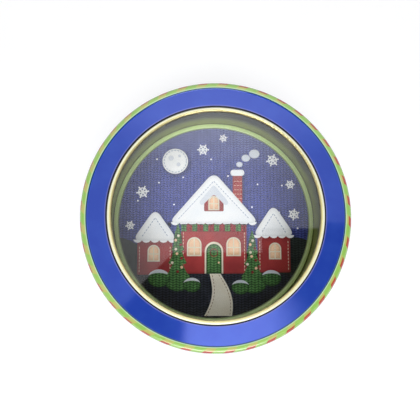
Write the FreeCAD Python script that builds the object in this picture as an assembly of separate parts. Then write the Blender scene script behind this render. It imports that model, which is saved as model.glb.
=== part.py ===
"""Round tinplate tin with a slip lid that has a clear window.

Everything is one thin sheet bent to a section and turned about the tin's axis.
The frame's origin is on the table, on that axis, with +Z up. Lengths are in millimetres.
"""
import FreeCAD, Part
import math
import os

# Driving dimensions: overall
LID_DIAMETER = 190.0
BODY_HEIGHT = 84.7
SHEET = 0.28

# Driving dimensions: rolled edges and how the lid sits
RIM_CURL = 2.4
SKIRT_CURL = 2.2
LID_CLEARANCE = 0.4
LID_SEAT_GAP = 0.15

# Driving dimensions: lid
SKIRT_DEPTH = 20.0
SHOULDER_BEND = 3.6
SHOULDER_LAND = 1.2
SHOULDER_SLOPE = 0.8
SHOULDER_RISE = 0.6
PANEL_WIDTH = 13.7
PANEL_RISE = 3.0
CREASE_BEND = 0.4

# Driving dimensions: window, the bead folded round its edge and the groove under the bead
BEAD_WIDTH = 2.4
BEAD_RISE = 1.1
BEAD_EDGE_GAP = 0.3
GROOVE_WIDTH = 1.2
GROOVE_DEPTH = 0.72
GROOVE_BEND = 0.25
PANE_THICKNESS = 0.35
PANE_OVERLAP = 3.2

# Driving dimensions: ring that holds the pane
RETAINER_SETBACK = 1.3
RETAINER_LIP = 1.0
RETAINER_LEDGE = 0.6
RETAINER_STEP = 1.2
RETAINER_BEND = 0.4
RETAINER_GAP = 0.9
RETAINER_GRIP = 1.5
FIT_GAP = 0.03

# Driving dimensions: base and its double seam
SEAM_HEIGHT = 3.2
SEAM_GAP = 0.05
FLOOR_HEIGHT = 3.4
FLOOR_RING_WIDTH = 4.0
FLOOR_RING_RISE = 1.2
FLOOR_RING_SLOPE = 1.0
FLOOR_BEND = 0.8

# Driving dimensions: locked side seam of the body
SIDE_SEAM_WIDTH = 4.5
SIDE_SEAM_RISE = 0.45
SIDE_SEAM_MARGIN = 1.0
SIDE_SEAM_ANGLE = 250.0
SIDE_GROOVE_WIDTH = 0.5
SIDE_GROOVE_DEPTH = 0.1

# Derived: middle line of the sheet at each wall, as radii
HALF_SHEET = SHEET / 2
SKIRT_RADIUS = LID_DIAMETER / 2 - HALF_SHEET
BODY_RADIUS = LID_DIAMETER / 2 - SKIRT_CURL - LID_CLEARANCE - HALF_SHEET
RIM_BEND = RIM_CURL / 2 - HALF_SHEET
SKIRT_BEND = SKIRT_CURL / 2 - HALF_SHEET

# Derived: layers of the double seam, each one pitch further out
SEAM_PITCH = SHEET + SEAM_GAP
CHUCK_RADIUS = BODY_RADIUS - SEAM_PITCH
END_HOOK_RADIUS = BODY_RADIUS + SEAM_PITCH
BODY_HOOK_RADIUS = BODY_RADIUS + 2 * SEAM_PITCH
SEAM_RADIUS = BODY_RADIUS + 3 * SEAM_PITCH
SEAM_FOOT = HALF_SHEET
BODY_FOOT = SEAM_FOOT + SEAM_PITCH
SEAM_TOP = SEAM_HEIGHT - HALF_SHEET

# Derived: lid, from the rim that it rests on upwards
RETAINER_PLATE = BODY_HEIGHT + LID_SEAT_GAP + HALF_SHEET
PANEL_FOOT = RETAINER_PLATE + SHEET + RETAINER_GAP
SHOULDER_TOP = PANEL_FOOT + SHOULDER_RISE
PANEL_TOP = PANEL_FOOT + PANEL_RISE
BEAD_TOP = PANEL_TOP + BEAD_RISE
SKIRT_FOOT = SHOULDER_TOP + SHEET - SKIRT_DEPTH

# Derived: lid radii, from the skirt inwards
CREASE_RADIUS = SKIRT_RADIUS - SHOULDER_BEND - SHOULDER_LAND - SHOULDER_SLOPE
LIP_RADIUS = CREASE_RADIUS - PANEL_WIDTH
BEAD_OUTER_RADIUS = LIP_RADIUS - SHEET - GROOVE_WIDTH
BEAD_INNER_RADIUS = BEAD_OUTER_RADIUS + SHEET - BEAD_WIDTH
APERTURE_RADIUS = BEAD_INNER_RADIUS - HALF_SHEET
PANE_RADIUS = APERTURE_RADIUS + PANE_OVERLAP

# Derived: heights of the groove, of the bead's free edge over it, and of the pane held under it
GROOVE_FLOOR = PANEL_TOP - GROOVE_DEPTH
BEAD_EDGE = GROOVE_FLOOR + HALF_SHEET + BEAD_EDGE_GAP
PANE_TOP = GROOVE_FLOOR - HALF_SHEET - FIT_GAP
RETAINER_TOP = PANE_TOP - PANE_THICKNESS - FIT_GAP - HALF_SHEET

# Derived: the bead's round back, and the lip where the panel turns down into the groove
BEAD_BEND = min((BEAD_OUTER_RADIUS - BEAD_INNER_RADIUS) / 2, BEAD_TOP - BEAD_EDGE)
LIP_TURN = math.pi / 2 + math.atan2(PANEL_RISE, PANEL_WIDTH)
LIP_BEND = (GROOVE_DEPTH - GROOVE_BEND) / math.tan(LIP_TURN / 2)

ORIGIN = FreeCAD.Vector(0, 0, 0)
AXIS = FreeCAD.Vector(0, 0, 1)
FULL_TURN = 360.0
SAME_POINT = 1e-6


def at(radius, height):
    return FreeCAD.Vector(radius, 0, height)


def heading(start, end):
    return (end - start).normalize()


def left_of(direction):
    return FreeCAD.Vector(-direction.z, 0, direction.x)


def line_edges(start, end):
    """A straight edge, or none where two bends meet in one point."""
    if start.distanceToPoint(end) < SAME_POINT:
        return []
    return [Part.LineSegment(start, end).toShape()]


def side_edges(path, offset):
    """Lines and arcs along a bent path, shifted to its left by offset.

    The path is a list of (radius, height, bend): the corners of the sheet's middle line, each with the
    bend radius of that line there. The two ends have no bend.
    """
    corners = [at(radius, height) for radius, height, _ in path]
    bends = [bend for _, _, bend in path]
    start = corners[0] + left_of(heading(corners[0], corners[1])) * offset
    edges = []
    for before, corner, after, bend in zip(corners, corners[1:], corners[2:], bends[1:]):
        into = heading(before, corner)
        away = heading(corner, after)
        half_turn = into.getAngle(away) / 2
        reach = bend * math.tan(half_turn)
        arc_start = corner - into * reach + left_of(into) * offset
        arc_end = corner + away * reach + left_of(away) * offset
        inward = heading(into, away)
        centre = corner + inward * (bend / math.cos(half_turn))
        turns_left = left_of(into).dot(away) > 0
        radius = bend - offset if turns_left else bend + offset
        edges += line_edges(start, arc_start)
        edges.append(Part.Arc(arc_start, centre - inward * radius, arc_end).toShape())
        start = arc_end
    end = corners[-1] + left_of(heading(corners[-2], corners[-1])) * offset
    return edges + line_edges(start, end)


def turned_sheet(path):
    """A sheet of constant thickness, bent along the path and turned about the tin's axis."""
    left = side_edges(path, HALF_SHEET)
    right = side_edges(path, -HALF_SHEET)
    start_cap = line_edges(right[0].firstVertex().Point, left[0].firstVertex().Point)
    end_cap = line_edges(left[-1].lastVertex().Point, right[-1].lastVertex().Point)
    outline = Part.Wire(Part.__sortEdges__(start_cap + left + end_cap + right))
    return Part.Face(outline).revolve(ORIGIN, AXIS, FULL_TURN)


def wall_strip(inner_radius, outer_radius, bottom, top, width):
    """An upright strip that follows the wall, centred on the side seam."""
    corners = [
        at(inner_radius, bottom),
        at(outer_radius, bottom),
        at(outer_radius, top),
        at(inner_radius, top),
    ]
    section = Part.Face(Part.makePolygon(corners + corners[:1]))
    sweep = math.degrees(width / BODY_RADIUS)
    section.rotate(ORIGIN, AXIS, SIDE_SEAM_ANGLE - sweep / 2)
    return section.revolve(ORIGIN, AXIS, sweep)


def body_wall():
    """Side of the tin: rolled rim, plain wall, and the hook that the base is folded round."""
    rim_top = BODY_HEIGHT - HALF_SHEET
    curl_width = 2 * RIM_BEND
    wall = turned_sheet([
        (BODY_RADIUS - RIM_BEND, rim_top - curl_width, 0),
        (BODY_RADIUS - curl_width, rim_top - curl_width, RIM_BEND),
        (BODY_RADIUS - curl_width, rim_top, RIM_BEND),
        (BODY_RADIUS, rim_top, RIM_BEND),
        (BODY_RADIUS, BODY_FOOT, SEAM_PITCH),
        (BODY_HOOK_RADIUS, BODY_FOOT, SEAM_PITCH),
        (BODY_HOOK_RADIUS, SEAM_TOP - 2 * SEAM_PITCH, 0),
    ])
    seam_foot = max(FLOOR_HEIGHT + FLOOR_RING_RISE, SEAM_HEIGHT) + SIDE_SEAM_MARGIN
    seam_head = BODY_HEIGHT - RIM_CURL - SIDE_SEAM_MARGIN
    ridge_face = BODY_RADIUS - HALF_SHEET - SIDE_SEAM_RISE
    groove_floor = BODY_RADIUS + HALF_SHEET - SIDE_GROOVE_DEPTH
    ridge = wall_strip(ridge_face, BODY_RADIUS, seam_foot, seam_head, SIDE_SEAM_WIDTH)
    groove = wall_strip(groove_floor, SEAM_RADIUS, seam_foot, seam_head, SIDE_GROOVE_WIDTH)
    return wall.fuse(ridge).cut(groove)


def base_disc():
    """Floor of the tin: flat panel, raised ring by the wall, and the outer half of the double seam."""
    panel = FLOOR_HEIGHT - HALF_SHEET
    ring_top = panel + FLOOR_RING_RISE
    ring_foot_radius = CHUCK_RADIUS - FLOOR_RING_WIDTH
    return turned_sheet([
        (0, panel, 0),
        (ring_foot_radius, panel, FLOOR_BEND),
        (ring_foot_radius + FLOOR_RING_SLOPE, ring_top, FLOOR_BEND),
        (CHUCK_RADIUS, ring_top, FLOOR_BEND),
        (CHUCK_RADIUS, SEAM_FOOT, SEAM_PITCH),
        (SEAM_RADIUS, SEAM_FOOT, SEAM_PITCH),
        (SEAM_RADIUS, SEAM_TOP, SEAM_PITCH),
        (END_HOOK_RADIUS, SEAM_TOP, SEAM_PITCH),
        (END_HOOK_RADIUS, BODY_FOOT + 2 * SEAM_PITCH, 0),
    ])


def lid_shell():
    """Lid: bead folded outwards over a groove, sloping panel, raised shoulder, skirt and rolled edge."""
    curl_width = 2 * SKIRT_BEND
    return turned_sheet([
        (BEAD_OUTER_RADIUS, BEAD_EDGE, 0),
        (BEAD_OUTER_RADIUS, BEAD_TOP, BEAD_BEND),
        (BEAD_INNER_RADIUS, BEAD_TOP, BEAD_BEND),
        (BEAD_INNER_RADIUS, GROOVE_FLOOR, GROOVE_BEND),
        (LIP_RADIUS, GROOVE_FLOOR, GROOVE_BEND),
        (LIP_RADIUS, PANEL_TOP, LIP_BEND),
        (CREASE_RADIUS, PANEL_FOOT, CREASE_BEND),
        (CREASE_RADIUS + SHOULDER_SLOPE, SHOULDER_TOP, CREASE_BEND),
        (SKIRT_RADIUS, SHOULDER_TOP, SHOULDER_BEND),
        (SKIRT_RADIUS, SKIRT_FOOT, SKIRT_BEND),
        (SKIRT_RADIUS - curl_width, SKIRT_FOOT, SKIRT_BEND),
        (SKIRT_RADIUS - curl_width, SKIRT_FOOT + curl_width, SKIRT_BEND),
        (SKIRT_RADIUS - SKIRT_BEND, SKIRT_FOOT + curl_width, 0),
    ])


def window_retainer():
    """Ring that presses the pane up against the groove, with a flange that grips inside the skirt."""
    lip_radius = APERTURE_RADIUS + RETAINER_SETBACK + HALF_SHEET
    ledge_radius = PANE_RADIUS + RETAINER_LEDGE
    flange_radius = SKIRT_RADIUS - SHEET - FIT_GAP
    flange_bend = SHOULDER_BEND - SHEET - FIT_GAP
    return turned_sheet([
        (lip_radius, RETAINER_TOP - RETAINER_LIP, 0),
        (lip_radius, RETAINER_TOP, RETAINER_BEND),
        (ledge_radius, RETAINER_TOP, RETAINER_BEND),
        (ledge_radius + RETAINER_STEP, RETAINER_PLATE, RETAINER_BEND),
        (flange_radius, RETAINER_PLATE, flange_bend),
        (flange_radius, RETAINER_PLATE - flange_bend - RETAINER_GRIP, 0),
    ])


def window_sheet():
    """Clear pane, a flat disc."""
    return Part.makeCylinder(PANE_RADIUS, PANE_THICKNESS, at(0, PANE_TOP - PANE_THICKNESS), AXIS)


def main():
    os.makedirs("parts", exist_ok=True)
    for make_piece in (body_wall, base_disc, lid_shell, window_retainer, window_sheet):
        make_piece().exportStep(f"parts/{make_piece.__name__}.step")


main()
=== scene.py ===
import math
from collections import namedtuple

import bmesh
import bpy
from mathutils import Matrix, Vector


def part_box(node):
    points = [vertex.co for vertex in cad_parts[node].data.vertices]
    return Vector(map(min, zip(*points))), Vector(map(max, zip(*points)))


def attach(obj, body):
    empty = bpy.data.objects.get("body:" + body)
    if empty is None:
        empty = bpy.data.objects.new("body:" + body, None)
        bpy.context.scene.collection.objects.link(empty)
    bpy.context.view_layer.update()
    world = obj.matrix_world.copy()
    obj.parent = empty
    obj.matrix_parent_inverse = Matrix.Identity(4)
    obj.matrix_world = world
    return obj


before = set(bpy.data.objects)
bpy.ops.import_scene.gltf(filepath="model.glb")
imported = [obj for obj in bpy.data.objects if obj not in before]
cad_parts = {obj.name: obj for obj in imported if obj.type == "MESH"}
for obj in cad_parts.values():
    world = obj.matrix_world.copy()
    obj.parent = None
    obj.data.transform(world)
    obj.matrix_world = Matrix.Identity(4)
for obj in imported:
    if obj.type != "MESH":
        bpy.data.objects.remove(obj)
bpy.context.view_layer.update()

MM = 0.001

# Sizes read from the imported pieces
LID_LOW, LID_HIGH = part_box("lid_shell")
WALL_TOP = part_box("body_wall")[1].z
PANE_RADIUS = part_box("window_sheet")[1].x
LID_RADIUS = LID_HIGH.x

# The wall: its outer face and printed skin, its rolled rim, and where painted shade darkens its lining
WALL_RADIUS = LID_RADIUS - 2.6 * MM
WALL_SKIN = 0.15 * MM
RIM_RADIUS = 1.2 * MM
WALL_SHADE_FOOT = 14 * MM
WALL_SHADE_FULL = 26 * MM

# Where one finish ends and the next begins on the lid
BEAD_AXIS = PANE_RADIUS - 2.0 * MM
BEAD_BEND = 1.2 * MM
BEAD_LIMIT = PANE_RADIUS - 0.1 * MM
BEAD_FOOT = LID_HIGH.z - 1.62 * MM
# Where the bead's painted shade in its fold gives way to gold, and gold to a painted highlight on its
# outer side
BEAD_BROWN = BEAD_AXIS - 1.2 * MM
BEAD_GOLD = BEAD_AXIS - 0.5 * MM
BEAD_PALE = BEAD_AXIS + 0.6 * MM
GROOVE_SHADE = PANE_RADIUS + 0.62 * MM
# Where the lip lies, along which a painted highlight runs
LIP_RADIUS = PANE_RADIUS + 1.1 * MM
LIP_WIDTH = 0.7 * MM
CREASE_RADIUS = LID_RADIUS - 5.75 * MM
CURL_RADIUS = 1.1 * MM

# The lines between the blue and the stripes, a dark one and a painted highlight, which lie a little off
# centre
BLUE_EDGE = CREASE_RADIUS + 0.15 * MM
TEAL_EDGE = CREASE_RADIUS + 0.85 * MM
PALE_EDGE = CREASE_RADIUS + 1.4 * MM
LINE_BLUR = 0.1 * MM
LINE_SHIFT = (-0.1 * MM, 0.3 * MM)

# The roll of lacquer on the bead's outer side
ROLL_WIDTH = 0.42 * MM
ROLL_GAP = 0.003 * MM
ROLL_FOOT = LID_HIGH.z - 1.7 * MM
ROLL_STEPS = 256
ROLL_BENDS = 12
ROLL_CORNER = math.radians(40)

# The slanted stripes round the shoulder and skirt
STRIPE_COUNT = 40
STRIPE_SHARE = 0.45
STRIPE_SLANT = 0.73
STRIPE_PHASE = 0.11
STRIPE_BLUR = 0.015
# Where the stripes' painted highlight wash ends and full red begins
STRIPE_START = CREASE_RADIUS + 3.0 * MM
STRIPE_FULL = CREASE_RADIUS + 4.0 * MM
STRIPE_SHIFT = (-0.7 * MM, 0.2 * MM)

# The floor of the tin and its raised ring
FLOOR_TOP = 3.4 * MM
FLOOR_MARGIN = 0.1 * MM
FACING_DOWN = -0.2
RING_FOOT = 87.9 * MM
RING_EDGE = 91.4 * MM

# The print on the floor: its layers of ink, its knit, and the painted haze at its far side
PRINT_RADIUS = 87.2 * MM
INK = 0.05 * MM
INK_DEPTH = 0.8
STITCH = 6.2 * MM
STITCH_SLANT = 1.1
ROW = 2.2 * MM
PAINTED_HAZE_START = 0.45 * PRINT_RADIUS
PAINTED_HAZE_FULL = 1.1 * PRINT_RADIUS

# What the print's motifs are described by, in millimetres from the middle of the floor
Spot = namedtuple("Spot", "x y radius")
Flake = namedtuple("Flake", "x y size tilt")
Skyline = namedtuple("Skyline", "height wave length phase")
Fir = namedtuple("Fir", "x width height")
House = namedtuple("House", "name layer x base half eaves peak overhang")
Window = namedtuple("Window", "name layer x base width height")

# The print's disc, its soft shadows, and how finely its corners are eased
DISC_RADIUS = PRINT_RADIUS / MM
SHADE_BLUR = 3.2
SHADE_SHIFT = 1.2
CORNER_STEPS = 6

# The sky
MOON = Spot(-36, 56, 12)
MOON_SEAM = 1.6
MOON_ROOM = 3
CRATERS = (Spot(-4, 3, 2.4), Spot(3, -3, 1.8), Spot(4, 5, 1.3))
FLAKES = (Flake(-66, 27, 12, 8), Flake(-10, 67, 11, 0), Flake(9, 78, 8, 15), Flake(55, 57, 12, 12),
          Flake(71, 34, 9, 4), Flake(74, 6, 11, 22), Flake(-77, -4, 9, 10))
FLAKE_ROOM = 2
SPECK_COUNT = 40
SPECK_TURN = 137.5
SPECK_REACH = 84
SPECK_LOWEST = -10
SPECK_RADIUS = 0.8

# The ground
HILLS = Skyline(height=-22, wave=7, length=13, phase=0.6)
FIELD = Skyline(height=-46, wave=3, length=24, phase=0.0)
SKYLINE_STEPS = 120
PATH_TOP = -46
PATH_RUN = 39.5
PATH_SWAY = 7
PATH_TURN = 2.6
PATH_HALF = 4.5
PATH_SPREAD = 8
PATH_HEM = 2
PATH_STEPS = 20
BUSHES = (Spot(-33, -54, 12), Spot(-50, -52, 10), Spot(-20, -58, 8),
          Spot(36, -56, 12), Spot(52, -52, 9), Spot(24, -60, 8))
BUSH_SQUASH = 0.8
FIRS = (Fir(-33, 22, 48), Fir(35, 20, 42))
FIR_BASE = -50
FIR_TIERS = 4
BAUBLE_COUNT = 9
BAUBLE_RADIUS = 1.3
BAUBLE_FOOT = 0.08
BAUBLE_RISE = 0.085
BAUBLE_SWING = 0.30
BAUBLE_TURN = 2.4

# The houses
HOUSES = (
    House("left_house", layer=5, x=-54, base=-49, half=16, eaves=-16, peak=12, overhang=5),
    House("right_house", layer=5, x=55, base=-47, half=15, eaves=-12, peak=16, overhang=5),
    House("middle_house", layer=8, x=0, base=-48, half=30, eaves=0, peak=46, overhang=12),
)
MIDDLE_HOUSE = HOUSES[2]
WALL_EASE = 2
WALL_SEAM = 2
WALL_SEAM_TOP = 7
ROOF_EASE = 9
ROOF_DROP = 2
ROOF_SEAM = 9
ROOF_SEAM_FOOT = 1.5
EAVE_SHADE = 13
EAVE_STRIPES = 12
EAVE_STRIPE_DROP = 6.2
DRIP_PITCH = 4
DRIP_DROP = 1
DRIP_SPAN = 0.94
DRIP_SQUASH = 0.75

# The windows, door, dormer and chimney
WINDOWS = (
    Window("left_window", layer=6, x=-55, base=-36, width=9, height=13),
    Window("right_window", layer=6, x=56, base=-34, width=9, height=13),
    Window("middle_window_a", layer=10, x=-18, base=-31, width=11, height=15),
    Window("middle_window_b", layer=10, x=18, base=-31, width=11, height=15),
)
WINDOW_FRAME = 1.2
WINDOW_BAR = 1.0
WINDOW_BAR_EASE = 0.3
WINDOW_CROSSING = 0.45
DOOR = (14, 27)
DOOR_FRAME = (17, 29)
WREATH = Spot(0, -29, 3.4)
DOOR_KNOB = Spot(4.4, -38, 0.9)
DORMER_WALLS = ((-9, 9), (9, 9), (9, 20), (0, 29), (-9, 20))
DORMER_SNOW = ((-14, 17), (-11, 14), (0, 25), (11, 14), (14, 17), (0, 34))
DORMER_WINDOW = Window("dormer_window", layer=12, x=0, base=11, width=8, height=11)
CHIMNEY_X = 22
CHIMNEY_COURSES = (21, 25, 29, 33, 37)
SMOKE = (Spot(24, 53, 3), Spot(30, 59, 4), Spot(38, 63, 5))
SMOKE_ROOM = Spot(31, 58, 14)
SMOKE_SQUASH = 0.85

# The photograph's camera
CAMERA_PLACE = Vector((-5.98, -20.82, 334.99)) * MM
CAMERA_TARGET = Vector((-4.16, 2.47, 86.0)) * MM
SENSOR = 36.0
FOCAL_LENGTH = 30.86
CLIP_START = 10 * MM

# The studio's lamps and room light
LAMP_HEIGHT = 1.1
LAMP_TINT = (0.98, 0.99, 1.0)
TOP_PLACE = (0.0, 0.10)
TOP_SIZE = (0.5, 0.5)
TOP_RADIANCE = 4.5
FRONT_PLACE = (0.0, -0.48)
FRONT_SIZE = (0.8, 0.5)
FRONT_RADIANCE = 9.0
ROOM_LIGHT = 0.14

# The studio floor, and how its white brightens away from the tin
STUDIO_RADIUS = 3.0
STUDIO_SIDES = 96
STUDIO_FADE = (0.3, 1.2)
STUDIO_LEVEL = 0.65

# What the gloss of the lid reflects: a card overhead with a sky, a gap, and lights in front and behind
CARD_HEIGHT = 1.2
CARD_RADIUS = 2.5
CARD_SIDES = 64
SKY_EDGE = -0.053
SKY_BLUR = 0.006
SKY_STEP = 0.09
SKY_STEP_PLACE = 0.20
SKY_CUT_PLACE = -0.134
SKY_LEVEL = 0.43
GLOW_PLACE = (0.02, 0.55)
GLOW_SIZE = 0.6
GLOW_LEVEL = 1.4
PATCH_LEFT = (-0.30, -0.20)
PATCH_RIGHT = (0.45, 0.90)
PATCH_DEPTH = (-1.35, -0.65)
PATCH_BLUR = 0.05
PATCH_LEVEL = 1.8
FAR_FADE = (0.75, 1.15)
FAR_LEVEL = 0.5
NEAR_HALF = 0.8
NEAR_BLUR = 0.2
NEAR_FADE = (-1.35, -1.45)
NEAR_LEVEL = 11.0


class Surface:
    """A node material built up round one Principled shader.
    The plain roughness stands wherever the one made by nodes can't be carried along."""

    def __init__(self, name, roughness, metallic=0.0):
        self.material = bpy.data.materials.new(name)
        self.material.use_nodes = True
        self.nodes = self.material.node_tree.nodes
        self.links = self.material.node_tree.links
        self.shader = self.nodes["Principled BSDF"]
        self.shader.inputs["Roughness"].default_value = roughness
        self.shader.inputs["Metallic"].default_value = metallic
        self.place = self.nodes.new("ShaderNodeTexCoord").outputs["Object"]

    def put(self, socket, value):
        """Links a socket to another one, or gives it a number or a red, green and blue."""
        if isinstance(value, bpy.types.NodeSocket):
            self.links.new(value, socket)
        elif socket.type == "RGBA":
            socket.default_value = (*value, 1.0)
        else:
            socket.default_value = value

    def set(self, name, value):
        self.put(self.shader.inputs[name], value)

    def math(self, operation, *values):
        node = self.nodes.new("ShaderNodeMath")
        node.operation = operation
        for socket, value in zip(node.inputs, values):
            self.put(socket, value)
        return node.outputs[0]

    def times(self, first, second):
        return self.math("MULTIPLY", first, second)

    def ramp(self, kind, value, side, low, high):
        """Maps one range to another. The side that isn't named runs from nothing to one."""
        node = self.nodes.new("ShaderNodeMapRange")
        node.interpolation_type = kind
        self.put(node.inputs["Value"], value)
        node.inputs[side + " Min"].default_value = low
        node.inputs[side + " Max"].default_value = high
        return node.outputs["Result"]

    def smooth(self, value, low, high):
        """Goes softly from nothing at low to one at high, which may be the lower number."""
        return self.ramp("SMOOTHSTEP", value, "From", low, high)

    def spread(self, value, low, high):
        """Stretches a share, from nothing to one, over the range from low to high."""
        return self.ramp("LINEAR", value, "To", low, high)

    def mix(self, factor, first, second):
        node = self.nodes.new("ShaderNodeMix")
        node.data_type = "RGBA"
        self.put(node.inputs["Factor"], factor)
        self.put(node.inputs["A"], first)
        self.put(node.inputs["B"], second)
        return node.outputs["Result"]

    def noise(self, size, detail=2.0, stretch=(1.0, 1.0, 1.0)):
        """Cloudy noise in patches of about this size. A stretch under one draws them out."""
        mapping = self.nodes.new("ShaderNodeMapping")
        mapping.inputs["Scale"].default_value = stretch
        self.links.new(self.place, mapping.inputs["Vector"])
        node = self.nodes.new("ShaderNodeTexNoise")
        node.inputs["Scale"].default_value = 1.0 / size
        node.inputs["Detail"].default_value = detail
        self.links.new(mapping.outputs["Vector"], node.inputs["Vector"])
        return node.outputs["Fac"]

    def axes(self):
        node = self.nodes.new("ShaderNodeSeparateXYZ")
        self.links.new(self.place, node.inputs["Vector"])
        return node.outputs["X"], node.outputs["Y"], node.outputs["Z"]

    def radius(self, shift=(0.0, 0.0)):
        """The distance from the tin's axis, or from an upright line beside it."""
        x, y, _ = self.axes()
        across = self.math("SUBTRACT", x, shift[0])
        along = self.math("SUBTRACT", y, shift[1])
        squares = self.math("ADD", self.math("POWER", across, 2.0), self.math("POWER", along, 2.0))
        return self.math("SQRT", squares)

    def between(self, value, low, high, blur):
        """One from low to high and nothing outside, with soft ends."""
        rise = self.smooth(value, low - blur, low + blur)
        fall = self.smooth(value, high - blur, high + blur)
        return self.math("SUBTRACT", rise, fall)

    def bump(self, height, strength, distance):
        node = self.nodes.new("ShaderNodeBump")
        node.inputs["Strength"].default_value = strength
        node.inputs["Distance"].default_value = distance
        self.links.new(height, node.inputs["Height"])
        self.links.new(node.outputs["Normal"], self.shader.inputs["Normal"])

    def shine(self, tint, strength):
        """Makes the surface give off light without counting it as a lamp."""
        self.set("Emission Color", tint)
        self.set("Emission Strength", strength)
        self.material.cycles.emission_sampling = "NONE"


def darker(tone, share):
    return [part * share for part in tone]


def mottled(surface, base, other, size):
    """A colour with soft patches of another one."""
    patches = surface.smooth(surface.noise(size, detail=4.0), low=0.35, high=0.7)
    return surface.mix(patches, base, other)


def enamel_finish(surface, low, high):
    """Gives printed tin its varnish: faint orange peel, and a sheen that varies a little."""
    sheen = surface.noise(size=9 * MM, detail=3.0)
    surface.set("Roughness", surface.spread(sheen, low, high))
    surface.set("Coat Weight", 0.8)
    surface.set("Coat Roughness", 0.06)
    peel = surface.noise(size=2.4 * MM)
    surface.bump(peel, strength=0.05, distance=0.1 * MM)


def drawn_finish(surface):
    """Gives lacquer the fine lines of drawn sheet."""
    lines = surface.noise(size=0.6 * MM, stretch=(1.0, 1.0, 12.0))
    surface.set("Roughness", surface.spread(lines, low=0.20, high=0.30))
    surface.bump(lines, strength=0.02, distance=0.05 * MM)


def enamel_blue(surface):
    deep = (0.023, 0.070, 0.50)
    light = (0.029, 0.084, 0.53)
    return mottled(surface, deep, light, size=14 * MM)


def lid_blue():
    """The blue enamel of the lid's panel, with painted shade in the groove under the bead and a painted
    highlight along the lip.
    """
    lip_glint_colour = (0.16, 0.18, 0.58)
    groove_shade_colour = (0.003, 0.004, 0.014)
    surface = Surface("lid_blue", roughness=0.16, metallic=0.32)
    reach = surface.radius(LINE_SHIFT)
    # Painted highlight: a pale glint along the lip's crest, in patches
    lip = surface.between(reach, LIP_RADIUS - LIP_WIDTH / 2, LIP_RADIUS + LIP_WIDTH / 2, 2 * LINE_BLUR)
    patchy = surface.spread(surface.noise(size=5 * MM, detail=3.0), low=0.5, high=1.1)
    panel = surface.mix(surface.times(lip, patchy), enamel_blue(surface), lip_glint_colour)
    # Painted shade: the groove under the bead is coloured near black
    groove = surface.smooth(reach, GROOVE_SHADE + 3 * LINE_BLUR, GROOVE_SHADE)
    surface.set("Base Color", surface.mix(groove, panel, groove_shade_colour))
    enamel_finish(surface, low=0.10, high=0.18)
    return surface.material


def body_blue():
    """The plain blue enamel on the outside of the wall."""
    surface = Surface("body_blue", roughness=0.18, metallic=0.32)
    surface.set("Base Color", enamel_blue(surface))
    enamel_finish(surface, low=0.12, high=0.20)
    return surface.material


def stripe_mask(surface):
    """One where a slanted stripe lies, and how red it is: paler on the shoulder, under a painted
    highlight.
    """
    x, y, z = surface.axes()
    reach = surface.radius(STRIPE_SHIFT)
    turns = surface.times(surface.math("ARCTAN2", y, x), STRIPE_COUNT / math.tau)
    along = surface.math("SUBTRACT", reach, surface.math("SUBTRACT", z, LID_HIGH.z))
    pitch = math.tau * LID_RADIUS / STRIPE_COUNT
    slanted = surface.math("MULTIPLY_ADD", along, STRIPE_SLANT / pitch, turns)
    stripe = surface.math("FRACT", surface.math("ADD", slanted, STRIPE_PHASE))
    red = surface.between(stripe, 0.5 - STRIPE_SHARE / 2, 0.5 + STRIPE_SHARE / 2, STRIPE_BLUR)
    strength = surface.smooth(reach, STRIPE_START, STRIPE_FULL)
    return red, strength


def lid_stripes():
    """Lime enamel with slanted red stripes. A painted pale highlight and a dark line part it from the
    blue.
    """
    highlight_washed_red = (0.49, 0.50, 0.14)
    pale_highlight_line = (0.46, 0.68, 0.42)
    teal_line = (0.010, 0.060, 0.090)
    surface = Surface("lid_stripes", roughness=0.2)
    lime = mottled(surface, (0.29, 0.52, 0.10), (0.34, 0.56, 0.12), size=10 * MM)
    scarlet = mottled(surface, (0.42, 0.034, 0.016), (0.47, 0.045, 0.022), size=8 * MM)
    reach = surface.radius(LINE_SHIFT)
    stripe, strength = stripe_mask(surface)
    # Painted highlight: towards the blue the stripes are a washed tan instead of red
    tone = surface.mix(stripe, lime, surface.mix(strength, highlight_washed_red, scarlet))
    # The pale line is a painted highlight on the shoulder's crest
    lines = ((PALE_EDGE, pale_highlight_line), (TEAL_EDGE, teal_line), (BLUE_EDGE, enamel_blue(surface)))
    for edge, ink in lines:
        inside = surface.smooth(reach, edge + LINE_BLUR, edge - LINE_BLUR)
        tone = surface.mix(inside, tone, ink)
    surface.set("Base Color", tone)
    enamel_finish(surface, low=0.14, high=0.22)
    return surface.material


def gold_bead():
    """The bead's lacquer, with painted shade in brown in the fold at the pane, and a painted highlight,
    pale and less metallic, on the outer side.
    """
    pale_highlight_gold = (0.93, 0.92, 0.68)
    fold_shade_brown = (0.50, 0.42, 0.20)
    surface = Surface("gold_bead", roughness=0.24)
    reach = surface.radius()
    # outer is the share of the painted highlight, inner the share of the painted shade
    outer = surface.smooth(reach, BEAD_GOLD, BEAD_PALE)
    inner = surface.smooth(reach, BEAD_GOLD, BEAD_BROWN)
    gold = mottled(surface, (0.84, 0.76, 0.36), (0.78, 0.69, 0.31), size=7 * MM)
    tone = surface.mix(outer, gold, pale_highlight_gold)
    surface.set("Base Color", surface.mix(inner, tone, fold_shade_brown))
    surface.set("Metallic", surface.spread(outer, low=0.5, high=0.1))
    drawn_finish(surface)
    return surface.material


def gold_lacquer():
    """Clear gold lacquer over bright tinplate, with fine drawing lines."""
    surface = Surface("gold_lacquer", roughness=0.24, metallic=0.5)
    gold = mottled(surface, (0.85, 0.81, 0.50), (0.80, 0.75, 0.42), size=7 * MM)
    surface.set("Base Color", gold)
    drawn_finish(surface)
    return surface.material


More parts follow.
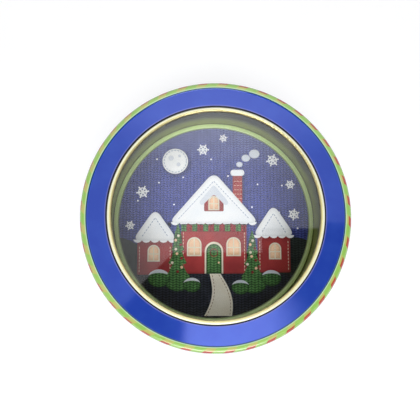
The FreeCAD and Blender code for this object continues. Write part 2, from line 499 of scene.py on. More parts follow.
def wall_lining():
    """The bright lining of the wall, rolled lengthwise, with painted shade high up on the far side."""
    far_shade_brown = (0.12, 0.115, 0.06)
    surface = Surface("wall_lining", roughness=0.14, metallic=1.0)
    bright = mottled(surface, (0.51, 0.49, 0.21), (0.45, 0.42, 0.17), size=12 * MM)
    _, y, z = surface.axes()
    # Painted shade: darker high up on the far side of the lining
    far_side = surface.smooth(y, 0.0, WALL_RADIUS)
    high_up = surface.smooth(z, WALL_SHADE_FOOT, WALL_SHADE_FULL)
    patchy = surface.spread(surface.noise(size=30 * MM), low=0.7, high=1.1)
    painted_far_shade = surface.times(surface.times(far_side, high_up), patchy)
    surface.set("Base Color", surface.mix(painted_far_shade, bright, far_shade_brown))
    lines = surface.noise(size=15 * MM, detail=1.0, stretch=(1.0, 1.0, 0.06))
    surface.set("Roughness", surface.spread(lines, low=0.26, high=0.36))
    return surface.material


def bare_tinplate():
    """Unprinted tinplate under the base, with its rolling lines and a dull bloom."""
    surface = Surface("bare_tinplate", roughness=0.34, metallic=1.0)
    lines = surface.noise(size=0.5 * MM, detail=3.0, stretch=(0.04, 1.0, 1.0))
    tone = surface.mix(lines, (0.52, 0.53, 0.54), (0.66, 0.66, 0.65))
    bloom = (0.58, 0.57, 0.55)
    surface.set("Base Color", mottled(surface, tone, bloom, size=20 * MM))
    surface.set("Roughness", surface.spread(lines, low=0.26, high=0.42))
    surface.bump(lines, strength=0.08, distance=0.05 * MM)
    return surface.material


def ring_green():
    """The pale green enamel on the raised ring round the floor, with painted shade at its foot and in
    the corner at the wall.
    """
    foot_shade_green = (0.20, 0.27, 0.11)
    corner_shade_green = (0.15, 0.23, 0.04)
    surface = Surface("ring_green", roughness=0.25)
    green = mottled(surface, (0.60, 0.80, 0.29), (0.65, 0.84, 0.32), size=9 * MM)
    reach = surface.radius()
    # Painted shade: darker green at the ring's foot, and in the corner where it meets the wall
    foot = surface.smooth(reach, RING_FOOT + 4 * LINE_BLUR, RING_FOOT)
    corner = surface.smooth(reach, RING_EDGE - LINE_BLUR, RING_EDGE + 4 * LINE_BLUR)
    foot_shaded = surface.mix(foot, green, foot_shade_green)
    surface.set("Base Color", surface.mix(corner, foot_shaded, corner_shade_green))
    enamel_finish(surface, low=0.18, high=0.28)
    return surface.material


def clear_pane():
    """Clear plastic sheet: glass to the eye, open to the light, with fine scratches."""
    surface = Surface("clear_pane", roughness=0.0)
    surface.set("Base Color", (0.97, 0.98, 0.98))
    surface.set("Transmission Weight", 1.0)
    surface.set("IOR", 1.5)
    grain = surface.noise(size=1.2 * MM, stretch=(0.04, 1.0, 1.0))
    scratches = surface.smooth(grain, low=0.80, high=0.86)
    surface.set("Roughness", surface.spread(scratches, low=0.0, high=0.08))
    clear = surface.nodes.new("ShaderNodeBsdfTransparent")
    path = surface.nodes.new("ShaderNodeLightPath")
    either = surface.nodes.new("ShaderNodeMixShader")
    output = surface.nodes["Material Output"]
    surface.links.new(path.outputs["Is Shadow Ray"], either.inputs["Fac"])
    surface.links.new(surface.shader.outputs["BSDF"], either.inputs[1])
    surface.links.new(clear.outputs["BSDF"], either.inputs[2])
    surface.links.new(either.outputs["Shader"], output.inputs["Surface"])
    return surface.material


def edge_share(surface):
    """One along the border of a printed piece, falling to nothing a little way in."""
    node = surface.nodes.new("ShaderNodeAttribute")
    node.attribute_name = "edge"
    return node.outputs["Fac"]


def edge_shade(surface, power, most):
    """How far a printed piece darkens towards its border."""
    return surface.times(surface.math("POWER", edge_share(surface), power), most)


def stitch_pattern(surface):
    """Columns of V-shaped stitches: one along the middle of each strand, nothing between them."""
    x, y, _ = surface.axes()
    across = surface.math("FRACT", surface.math("DIVIDE", x, STITCH))
    offset = surface.math("ABSOLUTE", surface.math("SUBTRACT", across, 0.5))
    rows = surface.math("ADD", surface.math("DIVIDE", y, ROW), surface.times(offset, STITCH_SLANT))
    strand = surface.math("ABSOLUTE", surface.math("SINE", surface.times(rows, math.pi)))
    leg = surface.math("ABSOLUTE", surface.math("SINE", surface.times(offset, math.tau)))
    return surface.times(strand, surface.spread(leg, low=0.3, high=1.0))


def painted_haze_share(surface, strands):
    """How far a painted haze pales the knit towards the far side of the floor, more so along its
    strands.
    """
    _, y, _ = surface.axes()
    far = surface.smooth(y, PAINTED_HAZE_START, PAINTED_HAZE_FULL)
    return surface.times(far, surface.spread(strands, low=0.15, high=0.75))


def knit(name, light, dark, painted_haze=None, shade=0.0):
    """A printed knit: columns of V-shaped stitches, lighter along each strand.
    With a haze colour, the print pales towards it at the far side of the floor, a painted haze of
    reflected light.
    With a shade, it is a shadow on the knit, which fades out at its border."""
    surface = Surface(name, roughness=0.32)
    surface.set("Specular IOR Level", 0.25)
    stitch = stitch_pattern(surface)
    wear = surface.spread(surface.noise(size=5 * MM, detail=1.0), low=0.35, high=1.4)
    strands = surface.times(stitch, wear)
    yarn = surface.mix(strands, dark, light)
    if painted_haze:
        yarn = surface.mix(painted_haze_share(surface, strands), yarn, painted_haze)
    if shade:
        cover = surface.spread(edge_share(surface), low=shade, high=0.0)
    else:
        cover = edge_shade(surface, power=1.5, most=0.6)
    surface.set("Base Color", surface.mix(cover, yarn, darker(dark, 0.5)))
    surface.set("Roughness", surface.spread(stitch, low=0.38, high=0.26))
    surface.bump(stitch, strength=0.1, distance=0.05 * MM)
    return surface.material


def felt(name, base, shade, size, depth=0.5):
    """Printed felt: soft patches of shade, short fibres, and a rounded edge that turns darker."""
    surface = Surface(name, roughness=0.32)
    soft = mottled(surface, base, shade, size)
    fibres = surface.noise(size=0.5 * MM, detail=4.0, stretch=(1.0, 2.2, 1.0))
    fuzzy = surface.mix(surface.smooth(fibres, low=0.45, high=0.75), soft, shade)
    cover = edge_shade(surface, power=1.6, most=0.7)
    surface.set("Base Color", surface.mix(cover, fuzzy, darker(shade, depth)))
    surface.set("Roughness", surface.spread(fibres, low=0.26, high=0.38))
    surface.bump(fibres, strength=0.06, distance=0.04 * MM)
    return surface.material


def mix_inks():
    # The navy's third colour is its painted haze
    navy = ((0.10, 0.13, 0.48), (0.014, 0.018, 0.09), (0.30, 0.33, 0.58))
    return {
        "navy": knit("knit_navy", *navy),
        "navy_shade": knit("knit_navy_shade", *navy, shade=0.9),
        "green": knit("knit_green", (0.14, 0.36, 0.11), (0.007, 0.022, 0.008)),
        "knit_red": knit("knit_red", (0.46, 0.04, 0.05), (0.09, 0.008, 0.012)),
        "forest": knit("knit_forest", (0.040, 0.058, 0.056), (0.002, 0.003, 0.004)),
        "dark": knit("knit_dark", (0.055, 0.062, 0.090), (0.001, 0.001, 0.002)),
        "white": felt("felt_white", (0.90, 0.90, 0.90), (0.83, 0.85, 0.88), 18 * MM, depth=0.75),
        "moon": felt("felt_moon", (0.93, 0.93, 0.91), (0.86, 0.87, 0.87), 14 * MM, depth=0.75),
        "snow": felt("felt_snow", (0.76, 0.78, 0.82), (0.64, 0.68, 0.75), 20 * MM, depth=0.75),
        "cream": felt("felt_cream", (0.82, 0.76, 0.62), (0.70, 0.62, 0.49), 14 * MM),
        "path": felt("felt_path", (0.92, 0.88, 0.78), (0.84, 0.78, 0.66), 14 * MM),
        "red": felt("felt_red", (0.40, 0.035, 0.035), (0.27, 0.022, 0.025), 16 * MM, depth=0.4),
        "peach": felt("felt_peach", (0.90, 0.64, 0.42), (0.82, 0.50, 0.30), 12 * MM, depth=0.7),
        "thread_blue": felt("thread_blue", (0.30, 0.36, 0.50), (0.20, 0.26, 0.40), 6 * MM),
        "thread_cream": felt("thread_cream", (0.85, 0.78, 0.62), (0.72, 0.62, 0.46), 6 * MM),
        "thread_brown": felt("thread_brown", (0.34, 0.22, 0.11), (0.24, 0.15, 0.07), 6 * MM),
    }


INKS = mix_inks()


def seen_share(nodes, links):
    """One for rays from the eye, also by way of metal or glass, and nothing for other light."""
    path = nodes.new("ShaderNodeLightPath")
    seen = path.outputs["Is Camera Ray"]
    for kind in ("Is Glossy Ray", "Is Transmission Ray"):
        either = nodes.new("ShaderNodeMath")
        either.operation = "MAXIMUM"
        links.new(seen, either.inputs[0])
        links.new(path.outputs[kind], either.inputs[1])
        seen = either.outputs[0]
    return seen


def floor_white():
    """The studio floor: white to the eye, pale to the light, so a shadow still shows on it."""
    surface = Surface("floor_white", roughness=0.8)
    pale = mottled(surface, (0.41, 0.41, 0.41), (0.39, 0.39, 0.39), size=0.2)
    surface.set("Base Color", pale)
    seen = seen_share(surface.nodes, surface.links)
    away = surface.smooth(surface.radius(), *STUDIO_FADE)
    level = surface.spread(away, low=STUDIO_LEVEL, high=1.0)
    surface.shine((1.0, 1.0, 1.0), surface.times(seen, level))
    return surface.material


def card_sky_light(surface):
    """The card's sky: brightest at its glow, and cut off along a stepped edge."""
    x, y, _ = surface.axes()
    slant = surface.math("ADD", x, SKY_EDGE - SKY_CUT_PLACE)
    edge = surface.math("MINIMUM", slant, SKY_EDGE)
    step = surface.times(surface.math("GREATER_THAN", x, SKY_STEP_PLACE), SKY_STEP)
    above = surface.math("SUBTRACT", y, surface.math("ADD", edge, step))
    away = surface.times(surface.radius(GLOW_PLACE), 1 / GLOW_SIZE)
    glow = surface.math("EXPONENT", surface.times(surface.math("POWER", away, 2.0), -1.0))
    sky = surface.math("MULTIPLY_ADD", glow, GLOW_LEVEL, SKY_LEVEL)
    return surface.times(sky, surface.smooth(above, -SKY_BLUR, SKY_BLUR))


def card_sky():
    """The card's lights: the sky, a patch in front, a paler far side and a bright near side."""
    surface = Surface("card_sky", roughness=1.0)
    surface.set("Base Color", (0.0, 0.0, 0.0))
    x, y, _ = surface.axes()
    across = surface.math("SUBTRACT", surface.smooth(x, *PATCH_LEFT), surface.smooth(x, *PATCH_RIGHT))
    patch = surface.times(across, surface.between(y, *PATCH_DEPTH, PATCH_BLUR))
    lit = surface.math("MULTIPLY_ADD", patch, PATCH_LEVEL, card_sky_light(surface))
    far = surface.smooth(y, *FAR_FADE)
    lit = surface.math("MULTIPLY_ADD", far, FAR_LEVEL, lit)
    middle = surface.between(x, -NEAR_HALF, NEAR_HALF, NEAR_BLUR)
    near = surface.times(middle, surface.smooth(y, *NEAR_FADE))
    lit = surface.math("MULTIPLY_ADD", near, NEAR_LEVEL, lit)
    surface.shine((0.97, 0.98, 1.0), lit)
    return surface.material


def paint(node, materials, choose):
    """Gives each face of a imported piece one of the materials, by where it lies and faces."""
    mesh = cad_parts[node].data
    mesh.materials.clear()
    for material in materials:
        mesh.materials.append(material)
    for face in mesh.polygons:
        centre = face.center
        reach = math.hypot(centre.x, centre.y)
        outward = (face.normal.x * centre.x + face.normal.y * centre.y) / max(reach, MM)
        face.material_index = choose(reach, centre.z, outward, face.normal.z)


GOLD, BLUE, STRIPES, BEAD = range(4)


def lid_finish(reach, height, outward, upward):
    """The inside of the sheet is gold, and shows on the bead, where the sheet is folded over."""
    curl_reach = reach - (LID_RADIUS - CURL_RADIUS)
    curl_height = height - (LID_LOW.z + CURL_RADIUS)
    if height < LID_LOW.z + 2 * CURL_RADIUS:
        return STRIPES if curl_reach * outward + curl_height * upward > 0 else GOLD
    if reach < BEAD_LIMIT and height > BEAD_FOOT:
        fold_height = max(0.0, height - (LID_HIGH.z - BEAD_BEND))
        return BEAD if (reach - BEAD_AXIS) * outward + fold_height * upward > 0 else BLUE
    if reach < BEAD_AXIS:
        return GOLD if outward + upward < 0 else BLUE
    if reach < CREASE_RADIUS:
        upper_side = 2 * upward >= outward
        return BLUE if upper_side else GOLD
    return GOLD if outward + upward < 0 else STRIPES


LINING, OUTSIDE = range(2)


def wall_finish(reach, height, outward, upward):
    """The print on the outside rolls over the rim with the sheet."""
    rim_reach = reach - (WALL_RADIUS - RIM_RADIUS)
    rim_height = height - (WALL_TOP - RIM_RADIUS)
    if height > WALL_TOP - 2 * RIM_RADIUS:
        return OUTSIDE if rim_reach * outward + rim_height * upward > 0 else LINING
    return OUTSIDE if outward > 0 and reach > WALL_RADIUS - WALL_SKIN else LINING


TINPLATE, RING = range(2)


def base_finish(reach, height, outward, upward):
    """The upper side within the wall is enamelled, and the rest of the base is bare."""
    inside = reach < WALL_RADIUS and height > FLOOR_TOP - FLOOR_MARGIN and upward > FACING_DOWN
    return RING if inside else TINPLATE


def one_finish(reach, height, outward, upward):
    return 0


def paint_pieces(bead):
    """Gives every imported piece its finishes. The bead's own is passed in."""
    gold = gold_lacquer()
    paint("lid_shell", (gold, lid_blue(), lid_stripes(), bead), lid_finish)
    paint("body_wall", (wall_lining(), body_blue()), wall_finish)
    paint("base_disc", (bare_tinplate(), ring_green()), base_finish)
    paint("window_retainer", (gold,), one_finish)
    paint("window_sheet", (clear_pane(),), one_finish)


def join(built, first, second):
    """Joins two rings of points by a strip of faces."""
    for index in range(len(first)):
        after = (index + 1) % len(first)
        built.faces.new((first[index], first[after], second[after], second[index]))


def make_piece(built, name, material):
    """Turns a built mesh into an object of the scene."""
    mesh = bpy.data.meshes.new(name)
    built.to_mesh(mesh)
    built.free()
    mesh.materials.append(material)
    piece = bpy.data.objects.new(name, mesh)
    bpy.context.scene.collection.objects.link(piece)
    return piece


def roll_section():
    """A crescent over the bead's outer side, from its crest down into the groove."""
    axis_height = LID_HIGH.z - BEAD_BEND
    bend = BEAD_BEND + ROLL_GAP
    quarter = [math.radians(90 * step / ROLL_BENDS) for step in range(ROLL_BENDS + 1)]
    inner = [(BEAD_AXIS + bend * math.cos(t), axis_height + bend * math.sin(t)) for t in quarter]
    outer = [(x + ROLL_WIDTH * math.cos(t), z) for (x, z), t in zip(inner, quarter)]
    inner_foot = (inner[0][0], ROLL_FOOT)
    outer_foot = (outer[0][0], ROLL_FOOT)
    return inner[:-1] + outer[::-1] + [outer_foot, inner_foot]


def add_bead_roll(material):
    """The rolled lacquer that makes the bead's outer side a little fuller than the bare fold."""
    built = bmesh.new()
    section = roll_section()
    rings = []
    for step in range(ROLL_STEPS):
        turn = math.tau * step / ROLL_STEPS
        ring = [built.verts.new((r * math.cos(turn), r * math.sin(turn), z)) for r, z in section]
        rings.append(ring)
    for step in range(ROLL_STEPS):
        join(built, rings[step - 1], rings[step])
    bmesh.ops.recalc_face_normals(built, faces=built.faces)
    for face in built.faces:
        face.smooth = True
    for edge in built.edges:
        edge.smooth = edge.calc_face_angle(0.0) < ROLL_CORNER
    roll = make_piece(built, "lid_bead_roll", material)
    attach(roll, "lid")


def inset(outline, border):
    """A convex outline drawn in towards its middle by a border, or out where that is negative."""
    across = [x for x, _ in outline]
    along = [y for _, y in outline]
    x0 = sum(across) / len(outline)
    y0 = sum(along) / len(outline)
    half = min(max(across) - min(across), max(along) - min(along)) / 2
    share = 1 - border / half
    return [(x0 + (x - x0) * share, y0 + (y - y0) * share) for x, y in outline]


def slab(built, outline, layer, border, tones):
    """Adds a closed thin prism of ink over an outline given in millimetres.
    Its edge values are one round a border, or follow the tones of the outline's points."""
    low = FLOOR_TOP + INK * (layer - INK_DEPTH)
    high = FLOOR_TOP + INK * layer
    edge = built.verts.layers.float["edge"]
    bottom = [built.verts.new((x * MM, y * MM, low)) for x, y in outline]
    top = [built.verts.new((x * MM, y * MM, high)) for x, y in outline]
    join(built, bottom, top)
    plain_tone = 1.0 if border else 0.0
    for vertex, tone in zip(top, tones or [plain_tone] * len(outline)):
        vertex[edge] = tone
    if border:
        inner = [built.verts.new((x * MM, y * MM, high)) for x, y in inset(outline, border)]
        join(built, top, inner)
        top = inner
    built.faces.new(top)
    built.faces.new(reversed(bottom))


def printed(name, outlines, ink, layer, border=0.0, tones=None):
    """One piece of the floor's print, made of slabs of ink in one finish."""
    built = bmesh.new()
    built.verts.layers.float.new("edge")
    for outline in outlines:
        slab(built, outline, layer, border, tones)
    bmesh.ops.recalc_face_normals(built, faces=built.faces)
    piece = make_piece(built, "print_" + name, INKS[ink])
    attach(piece, "tin")


def arc(x, y, radius, start, end, count, squash=1.0):
    """Points along an arc, with angles in degrees, both ends included."""
    points = []
    for step in range(count + 1):
        angle = math.radians(start + (end - start) * step / count)
        points.append((x + radius * math.cos(angle), y + radius * squash * math.sin(angle)))
    return points


def disc(x, y, radius, count, squash=1.0):
    return arc(x, y, radius, 0, 360, count, squash)[:-1]


def upright_box(x, half, low, high):
    """The corners of a box about an upright middle line."""
    return [(x - half, low), (x + half, low), (x + half, high), (x - half, high)]


def rounded_box(x, y, width, height, corner):
    """A box about its middle, with quarter circles for corners."""
    across = width / 2 - corner
    along = height / 2 - corner
    points = []
    for turn, (u, v) in enumerate(((1, 1), (-1, 1), (-1, -1), (1, -1))):
        points += arc(x + u * across, y + v * along, corner, 90 * turn, 90 * turn + 90, CORNER_STEPS)
    return points


def turned(points, x, y, degrees, scale=1.0):
    """Turns and scales points about the origin, then moves them to x, y."""
    sine = scale * math.sin(math.radians(degrees))
    cosine = scale * math.cos(math.radians(degrees))
    return [(x + u * cosine - v * sine, y + u * sine + v * cosine) for u, v in points]


def eased(start, corner, end):
    """Points along a short curve from start to end that is drawn towards a corner."""
    points = []
    for step in range(CORNER_STEPS + 1):
        t = step / CORNER_STEPS
        ends = zip(start, corner, end)
        points.append([(1 - t) ** 2 * a + 2 * t * (1 - t) * b + t ** 2 * c for a, b, c in ends])
    return points


def rounded(corners, radius):
    """A closed outline through corners, each one eased by a short curve."""
    longest_share = 0.45
    points = []
    count = len(corners)
    for index, (x, y) in enumerate(corners):
        ends = []
        for u, v in (corners[index - 1], corners[(index + 1) % count]):
            run = math.hypot(u - x, v - y)
            share = min(longest_share, radius / run)
            ends.append((x + (u - x) * share, y + (v - y) * share))
        points += eased(ends[0], (x, y), ends[1])
    return points


def arch(x, base, width, height):
    """A doorway or window with a round top."""
    half = width / 2
    top = arc(x, base + height - half, half, 0, 180, count=16)
    return top + [(x - half, base), (x + half, base)]


def snowflake(x, y, size, tilt):
    """A flake of six arms, each with a pair of short branches, as one outline."""
    half = 0.11
    side = [(0.22, half), (0.40, half), (0.56, 0.34), (0.72, 0.27), (0.64, half), (1.0, half)]
    arm = [(u, -v) for u, v in side] + side[::-1]
    points = []
    for turn in range(6):
        points += turned(arm, x, y, tilt + 60 * turn, size / 2)
    return points


def fir(x, base, width, height, tiers):
    """A fir of stacked skirts that widen downwards, with slightly drooping tips."""
    right = []
    for tier in range(tiers):
        top = base + height * (1 - tier / tiers)
        bottom = base + height * (1 - (tier + 1) / tiers)
        reach = width / 2 * (tier + 1.4) / (tiers + 0.4)
        neck = (reach * 0.36 if tier else 0.0, top)
        waist = (reach * 0.70, bottom + (top - bottom) * 0.34)
        tip = (reach, bottom - height * 0.01)
        hem = (reach * 0.62, bottom - height * 0.03)
        right += [neck, waist, tip, hem]
    left = [(-u, v) for u, v in right[:0:-1]]
    return [(x + u, v) for u, v in right + left]


def below(skyline):
    """The part of the printed disc that lies under a skyline."""
    line = []
    for step in range(SKYLINE_STEPS + 1):
        x = -DISC_RADIUS + 2 * DISC_RADIUS * step / SKYLINE_STEPS
        y = skyline.height + skyline.wave * math.cos(x / skyline.length + skyline.phase)
        if math.hypot(x, y) < DISC_RADIUS:
            line.append((x, y))
    start = math.degrees(math.atan2(line[-1][1], line[-1][0]))
    end = math.degrees(math.atan2(line[0][1], line[0][0]))
    return line + arc(0, 0, DISC_RADIUS, start, end, count=60)


def stitches(path, pitch=3.0, length=1.9, width=0.55):
    """Short rounded stitches laid one after another along a path."""
    marks = []
    mark = rounded_box(0, 0, length, width, corner=width * 0.45)
    spare = pitch / 2
    for (x0, y0), (x1, y1) in zip(path, path[1:]):
        run = math.hypot(x1 - x0, y1 - y0)
        degrees = math.degrees(math.atan2(y1 - y0, x1 - x0))
        place = spare
        while place < run:
            share = place / run
            marks.append(turned(mark, x0 + (x1 - x0) * share, y0 + (y1 - y0) * share, degrees))
            place += pitch
        spare = place - run
    return marks


def snow_cap(x, y, radius, squash):
    """Snow lying on the upper side of a rounded bush."""
    start = 20
    end = 160
    upper = arc(x, y, radius, start, end, count=16, squash=squash)
    lower = arc(x, y + radius * 0.18, radius * 0.93, end, start, count=16, squash=squash * 0.4)
    return upper + lower[1:-1]


def print_shade(name, outline, layer):
    """The soft shadow that a raised piece throws on the knit behind it."""
    moved = [(x + SHADE_SHIFT, y - SHADE_SHIFT) for x, y in inset(outline, -SHADE_BLUR)]
    printed(f"{name}_shade", [moved], "navy_shade", layer=layer, border=1.8 * SHADE_BLUR)


def print_moon():
    """A full moon with three craters and a sewn border."""
    moon = disc(MOON.x, MOON.y, MOON.radius, count=48)
    print_shade("moon", moon, layer=2)
    printed("moon", [moon], "moon", layer=3, border=4)
    craters = [disc(MOON.x + spot.x, MOON.y + spot.y, spot.radius, count=24) for spot in CRATERS]
    printed("craters", craters, "snow", layer=4, border=0.8)
    seam = arc(MOON.x, MOON.y, MOON.radius - MOON_SEAM, 0, 360, count=40)
    printed("moon_seam", stitches(seam), "thread_blue", layer=4)


def print_snowfall():
    """Six-armed flakes, and specks of snow that keep clear of everything else in the sky."""
    printed("snowflakes", [snowflake(*flake) for flake in FLAKES], "white", layer=3)
    busy = [Spot(MOON.x, MOON.y, MOON.radius + MOON_ROOM), SMOKE_ROOM]
    busy += [Spot(flake.x, flake.y, flake.size / 2 + FLAKE_ROOM) for flake in FLAKES]
    specks = []
    for step in range(1, SPECK_COUNT):
        reach = SPECK_REACH * math.sqrt(step / SPECK_COUNT)
        angle = math.radians(SPECK_TURN * step)
        x = reach * math.cos(angle)
        y = reach * math.sin(angle)
        clear = all(math.hypot(x - spot.x, y - spot.y) > spot.radius for spot in busy)
        if clear and y > SPECK_LOWEST:
            specks.append(disc(x, y, SPECK_RADIUS, count=12))
    printed("specks", specks, "white", layer=3)


def print_sky():
    printed("sky", [disc(0, 0, DISC_RADIUS, count=160)], "navy", layer=1)
    print_moon()
    print_snowfall()


def path_edge(side, hem=0.0):
    """One side of a winding path that widens towards the front, drawn in by a hem."""
    points = []
    for step in range(PATH_STEPS + 1):
        t = step / PATH_STEPS
        middle = PATH_SWAY * math.sin(PATH_TURN * t)
        half = PATH_HALF + PATH_SPREAD * t - hem
        points.append((middle + side * half, PATH_TOP - PATH_RUN * t))
    return points


def print_bushes():
    """Round bushes. The first of each three stands behind a fir and carries no snow."""
    for index, (x, y, radius) in enumerate(BUSHES):
        layer = 11 + index % 3
        bush = disc(x, y, radius, count=32, squash=BUSH_SQUASH)
        printed(f"bush_{index + 1}", [bush], "green", layer=layer, border=2.5)
        if index % 3:
            cap = snow_cap(x, y, radius, BUSH_SQUASH)
            printed(f"bush_snow_{index + 1}", [cap], "snow", layer=layer + 0.4)


def print_ground():
    printed("hills", [below(HILLS)], "forest", layer=3)
    printed("field", [below(FIELD)], "dark", layer=4)
    outline = path_edge(-1) + path_edge(1)[::-1]
    printed("path", [outline], "path", layer=9)
    seams = stitches(path_edge(-1, PATH_HEM)) + stitches(path_edge(1, PATH_HEM))
    printed("path_seam", seams, "thread_brown", layer=10)
    print_bushes()


def eave_drips(house, reach):
    """The scallops of snow that hang along the eaves."""
    count = round(reach / DRIP_PITCH)
    span = reach * DRIP_SPAN
    width = 2 * span / count
    drips = []
    for index in range(count):
        middle = house.x - span + width * (index + 0.5)
        top = house.eaves - DRIP_DROP
        drips.append(arc(middle, top, width / 2, 180, 360, count=10, squash=DRIP_SQUASH))
    return drips


def print_roof(house):
    """Deep snow with scalloped eaves, its shadow on the wall, and a seam along its slopes."""
    reach = house.half + house.overhang
    foot = house.eaves - ROOF_DROP
    slope = rounded([(house.x - reach, foot), (house.x + reach, foot), (house.x, house.peak)], ROOF_EASE)
    print_shade(house.name, slope, layer=2)
    shaded = upright_box(house.x, house.half, house.eaves - EAVE_SHADE, house.eaves)
    fading = (0.0, 0.0, 1.0, 1.0)
    printed(f"{house.name}_eave_shade", [shaded], "red", layer=house.layer + 0.4, tones=fading)
    printed(f"{house.name}_drips", eave_drips(house, reach), "white", layer=house.layer + 1, border=0.6)
    printed(f"{house.name}_roof", [slope], "white", layer=house.layer + 2, border=4)
    seam_reach = reach - ROOF_SEAM
    seam_foot = house.eaves + ROOF_SEAM_FOOT
    seam_peak = (house.x, house.peak - ROOF_SEAM)
    seam = [(house.x - seam_reach, seam_foot), seam_peak, (house.x + seam_reach, seam_foot)]
    printed(f"{house.name}_roof_seam", stitches(seam), "thread_blue", layer=house.layer + 3)


def print_house(house):
    """A small house: red walls with stitched sides under a deep snow roof."""
    walls = rounded(upright_box(house.x, house.half, house.base, house.eaves), WALL_EASE)
    printed(f"{house.name}_walls", [walls], "red", layer=house.layer, border=1.8)
    print_roof(house)
    marks = []
    for side in (-1, 1):
        x = house.x + side * (house.half - WALL_SEAM)
        marks += stitches([(x, house.base + WALL_SEAM), (x, house.eaves - WALL_SEAM_TOP)])
    printed(f"{house.name}_wall_seam", marks, "thread_cream", layer=house.layer + 1)


def print_window(window):
    """A lit window in a cream frame, with an upright and a crossbar."""
    name, layer, x, base, width, height = window
    surround = arch(x, base - WINDOW_FRAME, width + 2 * WINDOW_FRAME, height + 2 * WINDOW_FRAME)
    upright = rounded_box(x, base + height / 2, WINDOW_BAR, height, WINDOW_BAR_EASE)
    crossbar = rounded_box(x, base + height * WINDOW_CROSSING, width, WINDOW_BAR, WINDOW_BAR_EASE)
    printed(f"{name}_frame", [surround], "cream", layer=layer, border=0.6)
    printed(f"{name}_light", [arch(x, base, width, height)], "peach", layer=layer + 1, border=2)
    printed(f"{name}_upright", [upright], "cream", layer=layer + 2)
    printed(f"{name}_crossbar", [crossbar], "cream", layer=layer + 3)


def print_door(house):
    """A green door in a cream frame, with a wreath and a knob."""
    printed("door_frame", [arch(house.x, house.base, *DOOR_FRAME)], "cream", layer=10, border=0.7)
    printed("door", [arch(house.x, house.base, *DOOR)], "green", layer=11, border=1.5)
    wreath = stitches(arc(*WREATH, 0, 360, count=24), pitch=1.5, length=1.3, width=1.0)
    printed("wreath", wreath, "knit_red", layer=12)
    printed("door_knob", [disc(*DOOR_KNOB, count=16)], "peach", layer=12)


def print_eave_stripes(house):
    """A row of green and red blocks under the eaves."""
    pitch = 2 * house.half / EAVE_STRIPES
    stripes = []
    for index in range(EAVE_STRIPES):
        x = house.x - house.half + pitch * (index + 0.5)
        y = house.eaves - EAVE_STRIPE_DROP
        stripes.append(rounded_box(x, y, width=4.8, height=7, corner=0.5))
    printed("eave_green", stripes[0::2], "green", layer=9, border=0.4)
    printed("eave_red", stripes[1::2], "knit_red", layer=9, border=0.4)


def print_dormer():
    """A window in the middle roof, under its own snow."""
    printed("dormer_walls", [rounded(DORMER_WALLS, radius=1)], "red", layer=11, border=0.8)
    print_window(DORMER_WINDOW)
    printed("dormer_snow", [rounded(DORMER_SNOW, radius=3)], "snow", layer=16)


def print_chimney():
    """A brick chimney behind the middle roof, capped with snow, and its smoke."""
    stack = rounded_box(CHIMNEY_X, y=28, width=9, height=32, corner=1)
    print_shade("chimney", stack, layer=1.6)
    printed("chimney", [stack], "red", layer=7, border=0.9)
    bricks = []
    for y in CHIMNEY_COURSES:
        course = [(CHIMNEY_X - 3.5, y), (CHIMNEY_X + 4, y)]
        bricks += stitches(course, pitch=2.6, length=1.9, width=0.4)
    printed("chimney_courses", bricks, "thread_cream", layer=8)
    cap = rounded_box(CHIMNEY_X, y=45, width=13, height=6, corner=2.8)
    printed("chimney_snow", [cap], "white", layer=8, border=1.2)
    puffs = [disc(*puff, count=28, squash=SMOKE_SQUASH) for puff in SMOKE]
    printed("smoke", puffs, "snow", layer=3, border=1.5)


def print_firs():
    """Two firs, with round baubles in three colours that wind up them."""
    outlines = [fir(x, FIR_BASE, width, height, FIR_TIERS) for x, width, height in FIRS]
    printed("firs", outlines, "green", layer=14)
    baubles = ([], [], [])
    for x, width, height in FIRS:
        for index in range(BAUBLE_COUNT):
            rise = BAUBLE_FOOT + BAUBLE_RISE * index
            swing = BAUBLE_SWING * width * (1 - rise) * math.sin(BAUBLE_TURN * index)
            bauble = disc(x + swing, FIR_BASE + height * rise, BAUBLE_RADIUS, count=16)
            baubles[index % 3].append(bauble)
    for index, ink in enumerate(("knit_red", "peach", "cream")):
        printed(f"baubles_{index + 1}", baubles[index], ink, layer=15, border=0.5)


def print_village():
    for house in HOUSES:
        print_house(house)
    for window in WINDOWS:
        print_window(window)
    print_door(MIDDLE_HOUSE)
    print_eave_stripes(MIDDLE_HOUSE)
    print_dormer()
    print_chimney()
    print_firs()


def build_print():
    print_sky()
    print_ground()
    print_village()


def flat_disc(name, radius, sides, height, material):
    """A flat round sheet over the middle of the set."""
    built = bmesh.new()
    rim = [built.verts.new((x, y, height)) for x, y in disc(0, 0, radius, sides)]
    built.faces.new(rim)
    return make_piece(built, name, material)


def add_floor():
    floor = flat_disc("studio_floor", STUDIO_RADIUS, STUDIO_SIDES, 0.0, floor_white())


def add_card():
    """A round card over the set, which only reflections see."""
    card = flat_disc("reflection_card", CARD_RADIUS, CARD_SIDES, CARD_HEIGHT, card_sky())
    card.visible_camera = False
    card.visible_diffuse = False
    card.visible_shadow = False


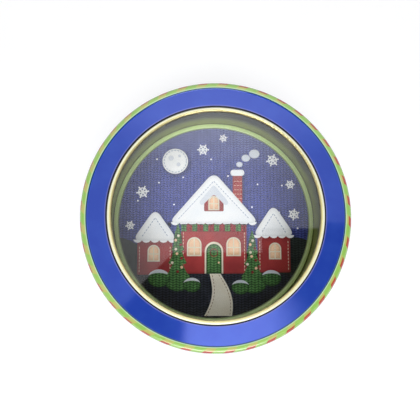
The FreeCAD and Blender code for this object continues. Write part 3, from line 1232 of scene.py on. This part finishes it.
def soft_box(name, place, size, radiance):
    """A soft box overhead, facing down. Gloss and glass show the card instead of the lamp."""
    width, depth = size
    light = bpy.data.lights.new(name, "AREA")
    light.shape = "RECTANGLE"
    light.size = width
    light.size_y = depth
    light.energy = radiance * math.pi * width * depth
    light.color = LAMP_TINT
    lamp = bpy.data.objects.new(name, light)
    lamp.location = (*place, LAMP_HEIGHT)
    lamp.visible_camera = False
    lamp.visible_glossy = False
    lamp.visible_transmission = False
    bpy.context.scene.collection.objects.link(lamp)


def add_lights():
    soft_box("top_box", TOP_PLACE, TOP_SIZE, TOP_RADIANCE)
    soft_box("front_box", FRONT_PLACE, FRONT_SIZE, FRONT_RADIANCE)


def add_room():
    """Even room light, seen as white wherever the eye, metal or glass meets it."""
    world = bpy.data.worlds.new("room")
    bpy.context.scene.world = world
    world.use_nodes = True
    nodes = world.node_tree.nodes
    links = world.node_tree.links
    background = nodes["Background"]
    background.inputs["Color"].default_value = (1.0, 1.0, 1.0, 1.0)
    level = nodes.new("ShaderNodeMapRange")
    level.inputs["To Min"].default_value = ROOM_LIGHT
    level.inputs["To Max"].default_value = 1.0
    links.new(seen_share(nodes, links), level.inputs["Value"])
    links.new(level.outputs["Result"], background.inputs["Strength"])


def add_camera():
    """The photograph's camera: almost straight above, with image up along +Y."""
    lens = bpy.data.cameras.new("camera")
    lens.sensor_width = SENSOR
    lens.lens = FOCAL_LENGTH
    lens.clip_start = CLIP_START
    camera = bpy.data.objects.new("camera", lens)
    forward = (CAMERA_TARGET - CAMERA_PLACE).normalized()
    right = (Vector((1, 0, 0)) - forward * forward.x).normalized()
    up = right.cross(forward)
    turn = Matrix((right, up, -forward)).transposed()
    camera.matrix_world = Matrix.Translation(CAMERA_PLACE) @ turn.to_4x4()
    bpy.context.scene.collection.objects.link(camera)
    bpy.context.scene.camera = camera


bead_lacquer = gold_bead()
paint_pieces(bead_lacquer)
add_bead_roll(bead_lacquer)
build_print()
add_floor()
add_lights()
add_card()
add_room()
add_camera()
bpy.context.scene.view_settings.view_transform = "Standard"
